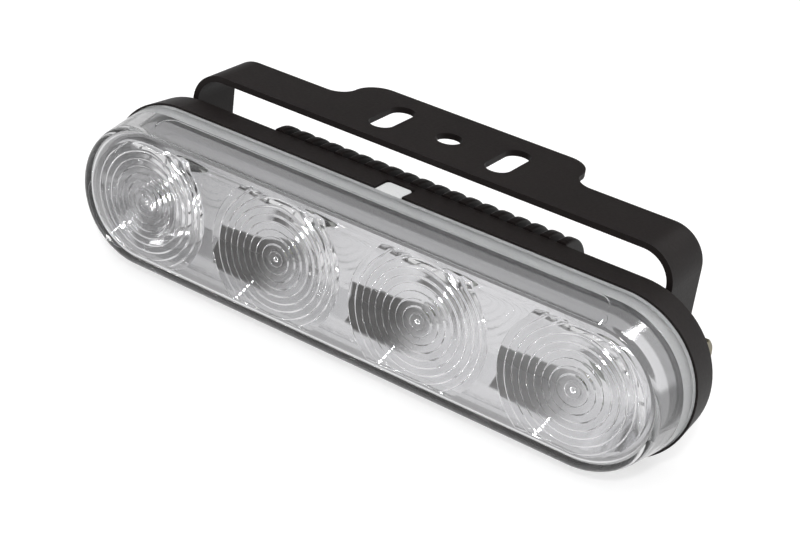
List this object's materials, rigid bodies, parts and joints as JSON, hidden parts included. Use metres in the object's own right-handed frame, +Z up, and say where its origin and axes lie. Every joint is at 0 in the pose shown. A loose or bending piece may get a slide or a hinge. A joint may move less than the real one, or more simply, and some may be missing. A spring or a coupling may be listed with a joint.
{
  "type": "daytime running light",
  "caption": "Pill-shaped daytime running light with a clear ring-optic lens, bright reflector, finned black casting and a tilting U bracket.",
  "frame": {"origin": "centre of the bracket's round mounting hole, on the top face of the bridge plate", "axes": "+X along the lamp, to the right of someone who faces the lens; -Y out of the lens to the front; +Z up, out of the bridge plate"},
  "size_m": [0.1616, 0.0526, 0.046],
  "materials": {
    "clear_lens": "clear polished polycarbonate",
    "seal_rubber": "soft pale silicone",
    "black_casting": "black satin powder coat on die-cast aluminium",
    "bright_reflector": "vacuum-metallised plastic",
    "board_metal": "white solder mask on a metal core",
    "pad_grey": "soft grey heat-conducting sheet",
    "screw_steel": "zinc-plated steel",
    "led_body": "white LED package",
    "led_phosphor": "yellow phosphor",
    "led_clear": "clear silicone",
    "gland_rubber": "black rubber",
    "black_bracket": "black satin powder coat on folded steel",
    "zinc_steel": "yellow-passivated zinc plate"
  },
  "bodies": {
    "bracket": {"bracket": "black_bracket"},
    "lamp": {"outer_lens": "clear_lens", "lens_seal": "seal_rubber", "housing": "black_casting", "reflector": "bright_reflector", "led_board": "board_metal", "thermal_pad": "pad_grey", "cable_gland": "gland_rubber", "board_screw_1": "screw_steel", "led_1_base": "led_body", "led_1_chip": "led_phosphor", "led_1_dome": "led_clear", "board_screw_2": "screw_steel", "led_2_base": "led_body", "led_2_chip": "led_phosphor", "led_2_dome": "led_clear", "board_screw_3": "screw_steel", "led_3_base": "led_body", "led_3_chip": "led_phosphor", "led_3_dome": "led_clear", "board_screw_4": "screw_steel", "led_4_base": "led_body", "led_4_chip": "led_phosphor", "led_4_dome": "led_clear", "pivot_bolt_left": "zinc_steel", "spring_washer_left": "zinc_steel", "flat_washer_left": "zinc_steel", "pivot_bolt_right": "zinc_steel", "spring_washer_right": "zinc_steel", "flat_washer_right": "zinc_steel"}
  },
  "joints": [
    {"name": "lamp_tilt", "type": "hinge", "parent": "bracket", "child": "lamp", "pos_m": [0, -0.00535, -0.0258], "axis": [1, 0, 0], "range_deg": [-6, 45]}
  ]
}
